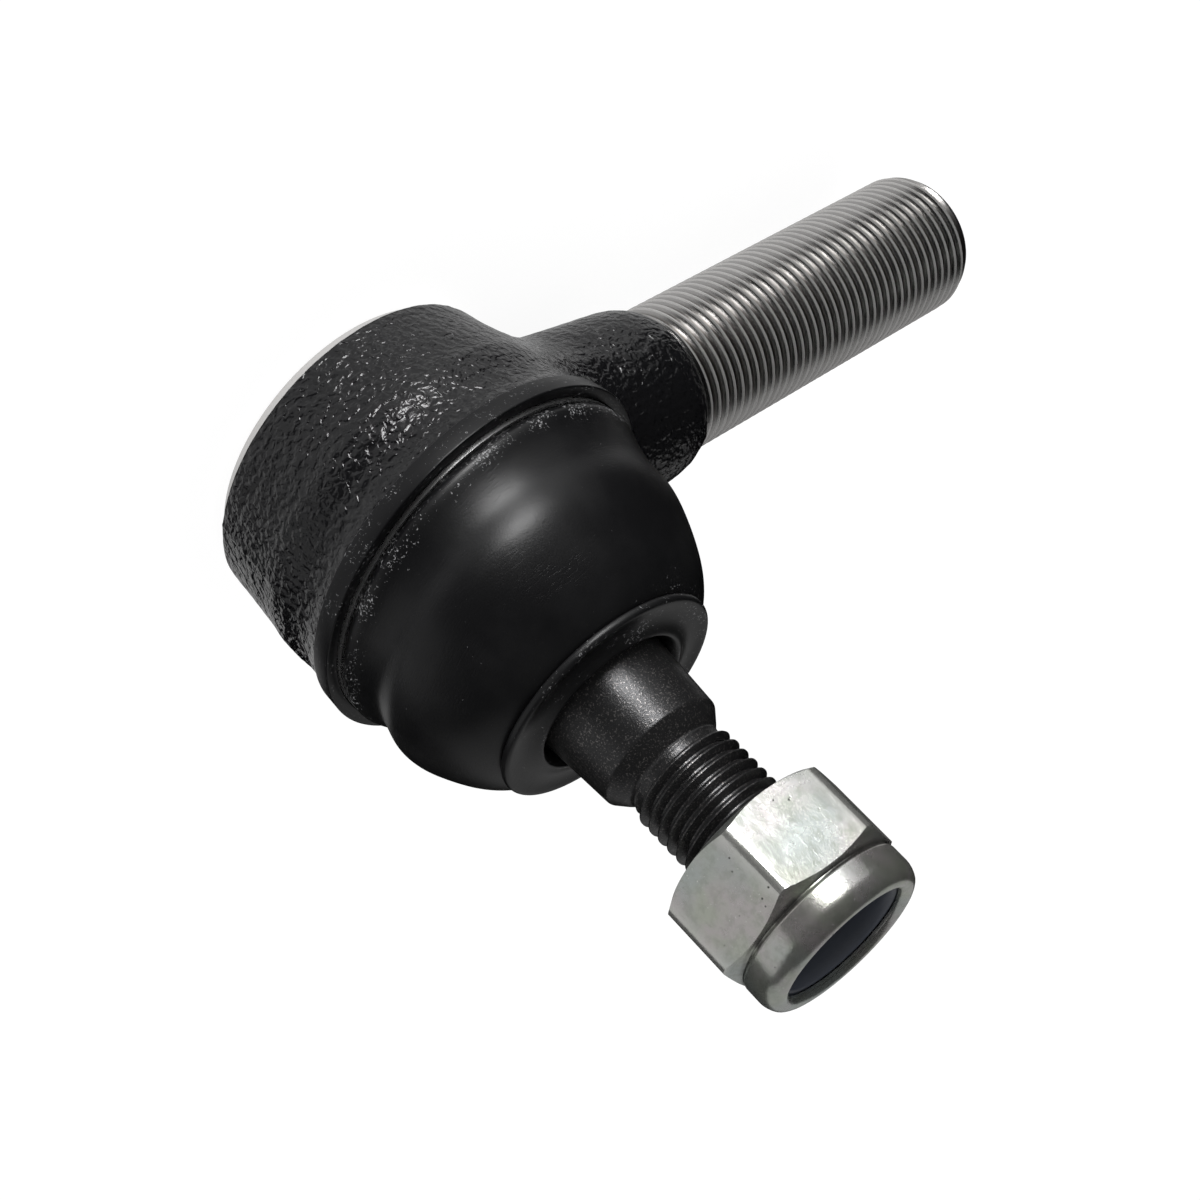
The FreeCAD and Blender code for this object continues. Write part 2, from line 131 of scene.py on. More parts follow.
# %% Helpers: joined, sliced
def joined(bm, other):
    """Adds a second bmesh to the first."""
    mesh = bpy.data.meshes.new("joined")
    other.to_mesh(mesh)
    other.free()
    bm.from_mesh(mesh)
    bpy.data.meshes.remove(mesh)
    return bm


def sliced(bm, height, keep):
    """Cuts at a height, keeps what is "above" or "below" it, and returns the cut's edges."""
    cut = bmesh.ops.bisect_plane(bm, geom=bm.verts[:] + bm.edges[:] + bm.faces[:], dist=1e-5,
                                 plane_co=(0, 0, height), plane_no=(0, 0, 1),
                                 clear_inner=keep == "above", clear_outer=keep == "below")
    return [part for part in cut["geom_cut"] if isinstance(part, bmesh.types.BMEdge)]


# %% Helpers: working objects and the finished piece
def scratch(name, bm):
    """A working object that never shows."""
    mesh = bpy.data.meshes.new(name)
    bm.to_mesh(mesh)
    bm.free()
    obj = bpy.data.objects.new(name, mesh)
    bpy.context.scene.collection.objects.link(obj)
    return obj


def settled(obj, *others):
    """The object's mesh with its modifiers applied, as a bmesh; the working objects go."""
    evaluated = obj.evaluated_get(bpy.context.evaluated_depsgraph_get())
    mesh = bpy.data.meshes.new_from_object(evaluated)
    bm = bmesh.new()
    bm.from_mesh(mesh)
    bpy.data.meshes.remove(mesh)
    for used in (obj, *others):
        bpy.data.objects.remove(used)
    return bm


def cut_with(obj, tool, operation):
    """The object after a boolean cut; both working objects go."""
    modifier = obj.modifiers.new("Cut", "BOOLEAN")
    modifier.object = tool
    modifier.operation = operation
    modifier.solver = "MANIFOLD"
    return settled(obj, tool)


def piece(name, bm, body, materials, crease=30):
    """Scales a finished bmesh to metres and makes it a piece that rides on a body."""
    bmesh.ops.scale(bm, vec=(MM, MM, MM), verts=bm.verts[:])
    open_edges = sum(1 for edge in bm.edges if len(edge.link_faces) != 2)
    mesh = bpy.data.meshes.new(name)
    bm.to_mesh(mesh)
    bm.free()
    for material in materials:
        mesh.materials.append(material)
    mesh.polygons.foreach_set("use_smooth", [True] * len(mesh.polygons))
    mesh.set_sharp_from_angle(angle=math.radians(crease))
    obj = bpy.data.objects.new(name, mesh)
    bpy.context.scene.collection.objects.link(obj)
    if body:
        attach(obj, body)
    print(f"{name}: {len(mesh.polygons)} faces, {open_edges} open edges")
    return obj


# %% [markdown]
# ## Shader groups
# Some effects belong to more than one finish: the marks a lathe leaves, the grain of a surface, the
# depth inside a thread, and specks of dust. Each could be repeated in every material, but a node group
# with inputs of its own is made once and placed with different values. All of them read Object
# coordinates, in metres, so a pattern stays the same size whatever piece it is on.

# %% Helpers: nodes and sums of nodes
VECTOR, FLOAT = "NodeSocketVector", "NodeSocketFloat"


def new_group(name, inputs, outputs):
    """A shader group with (title, kind, value) inputs and float outputs."""
    group = bpy.data.node_groups.new(name, "ShaderNodeTree")
    for title, kind, value in inputs:
        socket = group.interface.new_socket(title, in_out="INPUT", socket_type=kind)
        if value is not None:
            socket.default_value = value
    for title in outputs:
        group.interface.new_socket(title, in_out="OUTPUT", socket_type=FLOAT)
    return group, group.nodes.new("NodeGroupInput").outputs, group.nodes.new("NodeGroupOutput").inputs


def node(tree, kind, values=(), **settings):
    """A new node with its properties set, and its inputs linked or given values."""
    made = tree.nodes.new(kind)
    for name, value in settings.items():
        setattr(made, name, value)
    for socket, value in dict(values).items():
        if isinstance(value, bpy.types.NodeSocket):
            tree.links.new(value, made.inputs[socket])
        else:
            made.inputs[socket].default_value = value
    return made


def maths(tree, operation, first, second=0.0, third=0.0, clamp=False):
    """A Math node's output."""
    return node(tree, "ShaderNodeMath", {0: first, 1: second, 2: third}, operation=operation,
                use_clamp=clamp).outputs[0]


def ramp_between(tree, value, low, high, steepness="SMOOTHSTEP"):
    """0 below low, 1 above high."""
    return node(tree, "ShaderNodeMapRange", {"Value": value, "From Min": low, "From Max": high},
                interpolation_type=steepness).outputs[0]


def noise_of(tree, vector, scale, detail=2.0, roughness=0.5, distortion=0.0):
    """A Noise Texture's value."""
    return node(tree, "ShaderNodeTexNoise", {"Vector": vector, "Scale": scale, "Detail": detail,
                                             "Roughness": roughness,
                                             "Distortion": distortion}).outputs["Fac"]


def from_axis(tree, vector):
    """The x, y and z of a place, and its distance from the Z axis."""
    x, y, z = node(tree, "ShaderNodeSeparateXYZ", {0: vector}).outputs
    square = maths(tree, "ADD", maths(tree, "MULTIPLY", x, x), maths(tree, "MULTIPLY", y, y))
    return x, y, z, maths(tree, "SQRT", square)


# %% [markdown]
# ### Lathe marks
# A lathe tool leaves rings round the axis. Noise is stretched into rings by reading it at the distance
# from the axis and the height, with only a little of the angle, so that a ring wavers as it goes round.

# %% Lathe marks: fine rings about Z
def lathe_marks():
    group, given, out = new_group("LatheMarks", [("Vector", VECTOR, None), ("Rings", FLOAT, 9000.0)],
                                  ["Height", "Streaks"])
    x, y, z, radius = from_axis(group, given["Vector"])
    angle = maths(group, "ARCTAN2", y, x)
    rings = node(group, "ShaderNodeCombineXYZ", {
        0: maths(group, "MULTIPLY", radius, given["Rings"]),
        1: maths(group, "MULTIPLY", z, given["Rings"]),
        2: maths(group, "MULTIPLY", angle, 0.6)}).outputs[0]
    group.links.new(noise_of(group, rings, 1.0, 3.0, 0.7), out["Height"])
    group.links.new(noise_of(group, rings, 0.12, 2.0, 0.5), out["Streaks"])
    return group


LATHE = lathe_marks()
print("group:", LATHE.name)


# %% [markdown]
# ### Grain and thread depth
# No surface is quite even, so every finish takes a fine noise for its relief and a broad one for its
# patches. A thread also needs to know how deep a point lies in it, because its roots get painted shade
# while its crests get a painted highlight; the distance from the axis tells that.

# %% Grain, and depth in a thread
def surface_grain():
    group, given, out = new_group("Grain", [("Vector", VECTOR, None), ("Fine", FLOAT, 6000.0),
                                            ("Broad", FLOAT, 120.0)], ["Height", "Patches"])
    group.links.new(noise_of(group, given["Vector"], given["Fine"], 3.0, 0.6), out["Height"])
    group.links.new(noise_of(group, given["Vector"], given["Broad"], 4.0, 0.6), out["Patches"])
    return group


def thread_depth():
    """0 in the root, 1 on the crest."""
    group, given, out = new_group("ThreadDepth", [("Vector", VECTOR, None), ("Root", FLOAT, 0.009),
                                                  ("Crest", FLOAT, 0.0099)], ["Depth"])
    radius = from_axis(group, given["Vector"])[3]
    group.links.new(ramp_between(group, radius, given["Root"], given["Crest"], "LINEAR"),
                    out["Depth"])
    return group


GRAIN = surface_grain()
THREAD = thread_depth()
print("groups:", GRAIN.name, THREAD.name)


# %% [markdown]
# ### Dust
# Dust and flakes lie as irregular specks that gather in drifts. A noise that passes a high level makes
# specks, and lowering the level where a mask says makes them thicker there. Scattered meshes would do
# it too, but thousands of tiny flakes are too many faces for so little.

# %% Dust: small specks, thicker where a mask says
def dust_specks():
    group, given, out = new_group("Dust", [("Vector", VECTOR, None), ("Size", FLOAT, 5000.0),
                                           ("Where", FLOAT, 1.0), ("Amount", FLOAT, 0.3)],
                                  ["Specks"])
    flakes = noise_of(group, given["Vector"], given["Size"], 2.0, 0.7, 0.8)
    drift = noise_of(group, given["Vector"], 260.0, 3.0, 0.6)
    uneven = maths(group, "MULTIPLY_ADD", ramp_between(group, drift, 0.3, 0.7), 0.5, 0.5)
    chance = maths(group, "MULTIPLY", given["Where"], uneven)
    level = maths(group, "SUBTRACT", 0.86, maths(group, "MULTIPLY", chance, given["Amount"]))
    above = maths(group, "ADD", level, 0.03)
    group.links.new(ramp_between(group, flakes, level, above, "LINEAR"), out["Specks"])
    return group


DUST = dust_specks()
print("group:", DUST.name)

# %% [markdown]
# ## Finishes
# Each finish is its own material. All of them start from the Principled shader, and what differs is
# its colour, its roughness and the relief that a Bump node gives it. A value that changes over the
# surface comes from nodes; one that doesn't is set on the shader itself.

# %% Helpers: a material, its coordinates, a group in it, and what its shader gets
def new_material(name):
    material = bpy.data.materials.new(name)
    material.use_nodes = True
    return material, material.node_tree, material.node_tree.nodes["Principled BSDF"]


def coordinates(tree, centre=(0, 0, 0), turn=(0, 0, 0)):
    """Object coordinates, brought to a piece's own axis."""
    where = node(tree, "ShaderNodeTexCoord").outputs["Object"]
    return node(tree, "ShaderNodeMapping", {"Vector": where, "Location": centre, "Rotation": turn},
                vector_type="TEXTURE").outputs[0]


def placed(tree, group, **values):
    """The outputs of a group with these inputs."""
    return node(tree, "ShaderNodeGroup", values, node_tree=group).outputs


def mixed(tree, factor, first, second):
    """Two colours mixed, each a socket or plain red, green and blue."""
    first, second = (color if isinstance(color, bpy.types.NodeSocket) else (*color, 1)
                     for color in (first, second))
    return node(tree, "ShaderNodeMix", {"Factor": factor, 6: first, 7: second},
                data_type="RGBA").outputs[2]


def bump(tree, height, distance, strength=1.0, under=None):
    """A relief in metres, on top of an earlier one if there is one."""
    made = node(tree, "ShaderNodeBump", {"Height": height, "Distance": distance,
                                         "Strength": strength})
    if under is not None:
        tree.links.new(under, made.inputs["Normal"])
    return made.outputs[0]


def finish(shader, **values):
    """Links sockets to the shader's inputs, or sets plain values on them."""
    for name, value in values.items():
        target = shader.inputs[name.replace("_", " ")]
        if isinstance(value, bpy.types.NodeSocket):
            shader.id_data.links.new(value, target)
        else:
            target.default_value = (*value, 1) if isinstance(value, tuple) else value


BALL_PLACE = tuple(BALL * MM)
SHANK_TURN = (0, math.radians(90), 0)
LEAN_TURN = tuple(LEAN.to_euler())
print("patterns on the stud are centred at", [round(c, 4) for c in BALL_PLACE], "m")


# %% [markdown]
# ### Black paint
# The forging is shot-blasted and dipped in gloss black, so the paint lies over scale and dimples and
# the light breaks up on it. The skin's larger lumps are modelled, and a distorted noise adds the small
# worm-like ones as bump. On the turned mouth the same paint lies flat over faint lathe marks.

# %% Black paint, on the forged skin and on turned steel
PAINT_BLACK = (0.004, 0.004, 0.0045)


def forged_paint():
    material, tree, shader = new_material("forged_black_paint")
    where = coordinates(tree)
    worms = ramp_between(tree, noise_of(tree, where, 1150.0, 1.5, 0.4, 0.4), 0.3, 0.7)
    lumps = maths(tree, "MULTIPLY", noise_of(tree, where, 420.0, 1.0, 0.5), 0.8)
    grain = placed(tree, GRAIN, Vector=where, Fine=7000.0, Broad=150.0)
    dust = placed(tree, DUST, Vector=where, Size=3200.0, Where=0.5, Amount=0.22)
    finish(shader, IOR=1.46,
           Base_Color=mixed(tree, dust["Specks"], PAINT_BLACK, (0.12, 0.12, 0.125)),
           Roughness=maths(tree, "MULTIPLY_ADD", grain["Patches"], 0.16, 0.12),
           Normal=bump(tree, maths(tree, "ADD", worms, lumps), 0.00013))
    return material


def turned_paint():
    material, tree, shader = new_material("turned_black_paint")
    where = coordinates(tree)
    marks = placed(tree, LATHE, Vector=where, Rings=7000.0)
    dust = placed(tree, DUST, Vector=where, Size=3600.0, Where=1.0, Amount=0.24)
    finish(shader, IOR=1.33,
           Base_Color=mixed(tree, dust["Specks"], PAINT_BLACK, (0.18, 0.18, 0.185)),
           Roughness=maths(tree, "MULTIPLY_ADD", marks["Streaks"], 0.18, 0.26),
           Normal=bump(tree, marks["Height"], 0.00001, 0.5))
    return material


PAINT = forged_paint()
SMOOTH_PAINT = turned_paint()
print("made", PAINT.name, "and", SMOOTH_PAINT.name)


# %% [markdown]
# ### Bare steel
# The rim and the shank are left unpainted. Both show the rings of the lathe. In the shank's thread the
# roots and lower flanks are darkened as painted shade and roughened, going by the thread depth. Its
# crests are made a little less mirror-like than the flanks, so they catch diffuse light as a painted
# highlight.

# %% Turned steel, on the rim and on the shank
RIM_COLOR = (0.5, 0.49, 0.48)
SHANK_COLOR = (0.56, 0.55, 0.54)
# The dark colour painted into the shank's thread roots as shade.
ROOT_SHADE_COLOR = (0.13, 0.115, 0.105)
SHANK_ROOT, SHANK_CREST = 0.00905, 0.0098


def lathe_turned(tree, where, color):
    """The lathe's marks, the uneven tint of the steel, its patches and its relief."""
    marks = placed(tree, LATHE, Vector=where, Rings=11000.0)
    patches = placed(tree, GRAIN, Vector=where, Fine=2600.0, Broad=110.0)["Patches"]
    tint = mixed(tree, patches, color, tuple(0.86 * c for c in color))
    return marks, tint, patches, bump(tree, marks["Height"], 0.000008, 0.6)


def rim_steel():
    material, tree, shader = new_material("rim_steel")
    marks, tint, _, relief = lathe_turned(tree, coordinates(tree), RIM_COLOR)
    finish(shader, Metallic=0.36, Base_Color=tint, Normal=relief,
           Roughness=maths(tree, "MULTIPLY_ADD", marks["Streaks"], 0.16, 0.26))
    return material


def shank_steel():
    material, tree, shader = new_material("shank_steel")
    where = coordinates(tree, BALL_PLACE, SHANK_TURN)
    marks, tint, patches, relief = lathe_turned(tree, where, SHANK_COLOR)
    depth = placed(tree, THREAD, Vector=where, Root=SHANK_ROOT, Crest=SHANK_CREST)["Depth"]
    in_roots = maths(tree, "SUBTRACT", 1.0, ramp_between(tree, depth, 0.0, 0.8))
    # Painted shade: the colour is pulled towards a dark brown in the thread's roots and lower flanks,
    # in patches; the same mask roughens them.
    painted_root_shade = maths(tree, "MULTIPLY", in_roots, maths(tree, "MULTIPLY_ADD", patches, 0.5, 0.7),
                  clamp=True)
    # Painted highlight: the crests are made less metallic, so that they pick up the diffuse light and
    # look brighter.
    crest_highlight = ramp_between(tree, depth, 0.95, 1.0)
    rough = maths(tree, "MULTIPLY_ADD", marks["Streaks"], 0.16, 0.16)
    finish(shader, Base_Color=mixed(tree, painted_root_shade, tint, ROOT_SHADE_COLOR), Normal=relief,
           Metallic=maths(tree, "MULTIPLY_ADD", crest_highlight, -0.28, 1.0),
           Roughness=maths(tree, "MULTIPLY_ADD", painted_root_shade, 0.15, rough))
    return material


RIM_STEEL = rim_steel()
SHANK_STEEL = shank_steel()
print("made", RIM_STEEL.name, "and", SHANK_STEEL.name)


# %% [markdown]
# ### Rubber
# The boot is moulded rubber, slightly greasy, so its shine is broad and weak. Dust catches where the
# boot meets the socket and round its lip, which two ramps over the height pick out. Handling leaves
# fine scratches: a noise stretched along one direction, kept only in some patches.

# %% Rubber of the boot
FOOT_DUST_FROM, FOOT_DUST_TO = 0.0262, 0.0285
LIP_DUST_FROM, LIP_DUST_TO = 0.0445, 0.0475


def boot_rubber():
    material, tree, shader = new_material("boot_rubber")
    where = coordinates(tree)
    height = node(tree, "ShaderNodeSeparateXYZ", {0: where}).outputs[2]
    foot = maths(tree, "SUBTRACT", 1.0, ramp_between(tree, height, FOOT_DUST_FROM, FOOT_DUST_TO))
    lip = ramp_between(tree, height, LIP_DUST_FROM, LIP_DUST_TO)
    caught = maths(tree, "ADD", maths(tree, "MULTIPLY", foot, 0.8), maths(tree, "MULTIPLY", lip, 0.55))
    specks = placed(tree, DUST, Vector=where, Size=3300.0, Where=maths(tree, "ADD", caught, 0.5),
                    Amount=0.24)["Specks"]
    grain = placed(tree, GRAIN, Vector=where, Fine=4200.0, Broad=70.0)
    along = node(tree, "ShaderNodeMapping", {"Vector": where, "Scale": (0.12, 0.12, 1.0),
                                             "Rotation": (0.5, 0.3, 0)}).outputs[0]
    lines = ramp_between(tree, noise_of(tree, along, 5200.0, 2.0, 0.6), 0.54, 0.62)
    handled = ramp_between(tree, noise_of(tree, where, 130.0, 2.0), 0.42, 0.58)
    scratches = maths(tree, "MULTIPLY", lines, handled)
    relief = maths(tree, "MULTIPLY_ADD", specks, 2.0, grain["Height"])
    relief = maths(tree, "MULTIPLY_ADD", scratches, -0.5, relief)
    bloom = mixed(tree, ramp_between(tree, grain["Patches"], 0.4, 0.7), (0.004, 0.004, 0.0045),
                  (0.007, 0.007, 0.0075))
    finish(shader, IOR=1.38, Base_Color=mixed(tree, specks, bloom, (0.2, 0.2, 0.205)),
           Roughness=maths(tree, "MULTIPLY_ADD", grain["Patches"], 0.2, 0.26),
           Normal=bump(tree, relief, 0.00002, 0.6))
    return material


RUBBER = boot_rubber()
print("made", RUBBER.name)


# %% [markdown]
# ### Black phosphate
# The stud is phosphated: a crystalline black coat that holds oil and doesn't wear like paint. Steel
# glints through it where it has been rubbed. It is a dark metal with lighter crystals picked from its
# own grain, and the lathe's rings still show under the coat.

# %% Black phosphate on the stud
def stud_phosphate():
    material, tree, shader = new_material("stud_phosphate")
    where = coordinates(tree, BALL_PLACE, LEAN_TURN)
    grain = placed(tree, GRAIN, Vector=where, Fine=4600.0, Broad=260.0)
    marks = placed(tree, LATHE, Vector=where, Rings=6000.0)
    glints = maths(tree, "MULTIPLY", ramp_between(tree, grain["Height"], 0.55, 0.68), 0.45)
    relief = maths(tree, "MULTIPLY_ADD", marks["Height"], 0.4, grain["Height"])
    finish(shader, Metallic=0.75,
           Base_Color=mixed(tree, glints, (0.034, 0.034, 0.035), (0.3, 0.28, 0.27)),
           Roughness=maths(tree, "MULTIPLY_ADD", grain["Patches"], 0.2, 0.2),
           Normal=bump(tree, relief, 0.000035, 0.8))
    return material


PHOSPHATE = stud_phosphate()
print("made", PHOSPHATE.name)


# %% [markdown]
# ### Zinc plate
# The nut is zinc plated, pale grey with a faint green and pink bloom. The plating is mottled and a
# little wavy and it has small pits. Its corners get a painted highlight in a paler colour, and the
# groove under the collar is darkened in patches as painted shade. Each of these is a mask that mixes
# one more colour over the last, so that one can be taken out without touching the others.

# %% Zinc on the nut
# The groove's height for the painted shade, and the radii over which the corners get a painted
# highlight.
GROOVE_SHADE_HEIGHT = 0.0674
CORNER_HIGHLIGHT_FROM, CORNER_HIGHLIGHT_TO = 0.0118, 0.0125


def zinc_plate():
    material, tree, shader = new_material("zinc_plate")
    where = coordinates(tree, BALL_PLACE, LEAN_TURN)
    grain = placed(tree, GRAIN, Vector=where, Fine=3000.0, Broad=230.0)
    color = mixed(tree, ramp_between(tree, grain["Patches"], 0.35, 0.65), (0.53, 0.555, 0.48),
                  (0.6, 0.56, 0.56))
    clouds = ramp_between(tree, noise_of(tree, where, 90.0, 2.0), 0.4, 0.65)
    color = mixed(tree, clouds, color, (0.5, 0.54, 0.52))

    mottle = noise_of(tree, where, 900.0, 4.0, 0.65)
    spangle = maths(tree, "MULTIPLY", ramp_between(tree, mottle, 0.42, 0.66), 0.4)
    color = mixed(tree, spangle, color, (0.36, 0.38, 0.33))
    flecks = placed(tree, DUST, Vector=where, Size=3000.0, Where=1.0, Amount=0.2)["Specks"]
    color = mixed(tree, flecks, color, (0.85, 0.85, 0.82))

    # Painted highlight: the hexagon's corners are mixed towards a pale colour.
    corner_highlight = placed(tree, THREAD, Vector=where, Root=CORNER_HIGHLIGHT_FROM, Crest=CORNER_HIGHLIGHT_TO)["Depth"]
    color = mixed(tree, maths(tree, "MULTIPLY", corner_highlight, 0.7), color, (0.8, 0.8, 0.76))
    # Painted shade: a narrow band at the groove under the collar is darkened in patches.
    height = node(tree, "ShaderNodeSeparateXYZ", {0: where}).outputs[2]
    off_groove = maths(tree, "ABSOLUTE", maths(tree, "SUBTRACT", height, GROOVE_SHADE_HEIGHT))
    in_groove = maths(tree, "SUBTRACT", 1.0, ramp_between(tree, off_groove, 0.0001, 0.0006))
    groove_shade = maths(tree, "MULTIPLY", in_groove, ramp_between(tree, grain["Patches"], 0.35, 0.6))
    color = mixed(tree, maths(tree, "MULTIPLY", groove_shade, 0.85), color, (0.05, 0.05, 0.045))

    cells = node(tree, "ShaderNodeTexVoronoi", {"Vector": where, "Scale": 750.0,
                                                "Randomness": 1.0}).outputs["Distance"]
    pits = maths(tree, "SUBTRACT", 1.0, ramp_between(tree, cells, 0.04, 0.12))
    chosen = ramp_between(tree, noise_of(tree, where, 330.0, 2.0), 0.5, 0.56)
    pits = maths(tree, "MULTIPLY", pits, chosen)
    color = mixed(tree, pits, color, (0.06, 0.06, 0.055))

    swell = bump(tree, noise_of(tree, where, 260.0, 2.0, 0.5, 0.4), 0.00005)
    relief = maths(tree, "MULTIPLY_ADD", pits, -2.0, grain["Height"])
    relief = maths(tree, "MULTIPLY_ADD", mottle, 0.7, relief)
    finish(shader, Metallic=0.9, Base_Color=color,
           Roughness=maths(tree, "MULTIPLY_ADD", grain["Patches"], 0.2, 0.15),
           Normal=bump(tree, relief, 0.000016, 0.8, swell))
    return material


ZINC = zinc_plate()
print("made", ZINC.name)


# %% [markdown]
# ### Plain finishes
# The small and hidden pieces need only their own colour, broken up by a little grain so that they
# don't look like plastic toys: nylon in the nut, acetal bearings, and the steel of the spring, the
# cover and the rings. One function makes them all.

# %% Nylon, acetal, spring steel, cover steel and ring steel
def plain_finish(name, color, roughness, metallic, fine, spread):
    """A finish with only its own grain, its colour spread a little to both sides."""
    material, tree, shader = new_material(name)
    grain = placed(tree, GRAIN, Vector=coordinates(tree), Fine=fine, Broad=180.0)
    darker, lighter = (tuple(c * (1 + side * spread) for c in color) for side in (-1, 1))
    finish(shader, Metallic=metallic, Base_Color=mixed(tree, grain["Patches"], darker, lighter),
           Roughness=maths(tree, "MULTIPLY_ADD", grain["Patches"], 0.2, roughness - 0.1),
           Normal=bump(tree, grain["Height"], 0.00001, 0.5))
    return material


NYLON = plain_finish("nut_nylon", (0.035, 0.04, 0.052), 0.38, 0.0, 2500.0, 0.15)
ACETAL = plain_finish("bearing_acetal", (0.72, 0.7, 0.62), 0.42, 0.0, 1800.0, 0.05)
SPRING_STEEL = plain_finish("spring_steel", (0.3, 0.29, 0.28), 0.35, 1.0, 3000.0, 0.2)
COVER_STEEL = plain_finish("cover_steel", (0.42, 0.42, 0.4), 0.36, 1.0, 2400.0, 0.15)
RING_STEEL = plain_finish("ring_steel", (0.4, 0.4, 0.4), 0.26, 0.95, 4000.0, 0.1)
PLAIN = (NYLON, ACETAL, SPRING_STEEL, COVER_STEEL, RING_STEEL)
print("made", ", ".join(material.name for material in PLAIN))


# %% [markdown]
# ## The forged skin
# The socket and its neck are one forging: a barrel and a round bar that run into each other with a
# fillet. A boolean union and a bevel would leave a thin, even fillet with a hard edge. Here two turned
# solids are remeshed into one skin instead, and each point of the skin is then moved to where a smooth
# blend of the two shapes says it should be.

# %% The barrel's and the neck's radii, and their blend
BARREL = [(0.5, 20.7), (2.5, 21.1), (5, 21.42), (8, 21.85), (11, 22.3), (13, 22.75), (15, 22.85),
          (17, 22.75), (19, 22.95), (20, 23.2), (21, 23.6), (22, 23.9), (23.5, 24.05)]
NECK = [(18.0, 11.75), (33.0, 11.75), (35.0, 11.6), (36.5, 11.25), (37.8, 10.75), (38.6, 10.2),
        (39.1, 9.6)]
NECK_FROM = 15.0
BORE = 17.35
FILLET = [(4.0, 4.0), (14.0, 8.0), (19.0, 6.0), (24.0, 2.0)]
FLARE, FLARE_END, FLARE_DEPTH = 0.15, 34.0, 12.0


def at(places, table):
    """The second number of a table's pairs, read at places along the first."""
    along, value = np.array(table).T
    return np.interp(places, along, value)


def blend_field(points):
    """Distance outside the blended barrel and neck, in millimetres."""
    x, y, z = points.T
    barrel = np.hypot(x, y) - at(z, BARREL)
    underside = np.clip((BALL.z - z) / FLARE_DEPTH, 0, 1)
    flare = FLARE * np.maximum(FLARE_END - x, 0) * underside
    beside = np.hypot(y, z - BALL.z) - at(x, NECK) - flare
    before = np.maximum(NECK_FROM - x, 0)
    neck = np.where(before > 0, np.hypot(np.maximum(beside, 0), before), beside)
    reach = at(z, FILLET)
    near = np.maximum(reach - np.abs(barrel - neck), 0) / reach
    return np.minimum(barrel, neck) - near * near * reach / 4


print("neck's surface beside the ball, mm out of the blend:",
      round(float(blend_field(np.array([[30.0, 11.75, BALL.z]]))[0]), 3))


# %% Barrel and neck joined by a voxel remesh
VOXEL = 0.26

barrel = turned([(BORE, BARREL[0][0], 0)] + [(r, z, 0) for z, r in BARREL]
                + [(BORE, BARREL[-1][0], 0)])
neck = turned([(0, NECK[0][0], 0)] + [(r, x, 0) for x, r in NECK] + [(0, NECK[-1][0], 0)],
              closed=False)
bmesh.ops.transform(neck, matrix=ALONG_SHANK, verts=neck.verts[:])
skin = scratch("skin", joined(barrel, neck))
remesh = skin.modifiers.new("Remesh", "REMESH")
remesh.mode = "VOXEL"
remesh.voxel_size = VOXEL
skin = settled(skin)
print("remeshed skin:", len(skin.faces), "faces")

# %% [markdown]
# ### Onto the blend
# The blend is a field: it is negative inside the forging and positive outside. A point gets onto the
# surface by stepping down the field's slope, as water runs down a hill. Only the outer skin moves. The
# bore, the two ends and the end of the neck stay where the turned solids put them, because they are
# cut or covered later.

# %% The skin's points moved onto the blend
SLOPE_STEP = 0.05
LONGEST_STEP = 0.8
CATCH = 4.3
NECK_STOP = 38.75
BACK_STOP, MOUTH_STOP = 0.9, 23.1


def to_skin(points, rounds=9):
    """Points moved down the field's slope until they lie on the blend, and which way is out."""
    for _ in range(rounds):
        slope = np.stack([(blend_field(points + SLOPE_STEP * axis)
                           - blend_field(points - SLOPE_STEP * axis)) / (2 * SLOPE_STEP)
                          for axis in np.eye(3)], axis=1)
        steepness = np.maximum((slope * slope).sum(axis=1), 0.2)
        step = np.clip(blend_field(points), -LONGEST_STEP, LONGEST_STEP) / steepness
        points = points - step[:, None] * slope
    return points, slope / np.linalg.norm(slope, axis=1)[:, None]


points = np.array([vert.co for vert in skin.verts])
radius = np.hypot(points[:, 0], points[:, 1])
outside_bore = radius > BORE + 1.25
beyond_mouth = radius > 25
on_skin = (np.abs(blend_field(points)) < CATCH) & outside_bore & (points[:, 0] < NECK_STOP)
on_skin &= (points[:, 2] > BACK_STOP) & ((points[:, 2] < MOUTH_STOP) | beyond_mouth)
moved, outward = to_skin(points[on_skin])
print("points on the skin:", len(moved), "still off by at most",
      round(float(np.abs(blend_field(moved)).max()), 3), "mm")

# %% [markdown]
# ### The parting line and the forged unevenness
# The two halves of the die leave a low seam along the middle of the forging, and scale and shot leave
# shallow lumps and dimples. All three are real relief, small enough to be a distance along each
# point's own outward direction.

# %% Seam, lumps and dimples
LUMP, DIMPLE = 0.05, 0.035
DIMPLE_SHIFT = Vector((7, 3, 5))


def ridge(width, height):
    """A low round ridge along the plane where the dies met."""
    return np.exp(-(moved[:, 1] / width) ** 2) * height


seam = ridge(0.3, 0.09) + ridge(1.2, 0.06)
lumps = np.array([noise.fractal(Vector(p) * 0.35, 1.0, 2.0, 3) for p in moved])
dimples = np.array([noise.fractal(Vector(p) * 0.95 + DIMPLE_SHIFT, 1.0, 2.0, 2) for p in moved])
relief = seam + LUMP * lumps + DIMPLE * dimples
points[on_skin] = moved + outward * relief[:, None]
for vert, place in zip(skin.verts, points):
    vert.co = place
print("relief from", round(float(relief.min()), 2), "to", round(float(relief.max()), 2), "mm")

# %% [markdown]
# ### Mouth and rim
# On the real part the mouth and the rim are turned after forging, which is why their edges are sharp
# where the skin is not. The skin is cut in the same order: a turned cutter takes out the mouth, and a
# flat disc takes off the back.

# %% The turned mouth and rim cut out of the skin
RIM_HEIGHT = 1.95
MOUTH_FLOOR, MOUTH_RADIUS, MOUTH_TOP = 21.6, 24.32, 24.1
BEYOND = 70.0

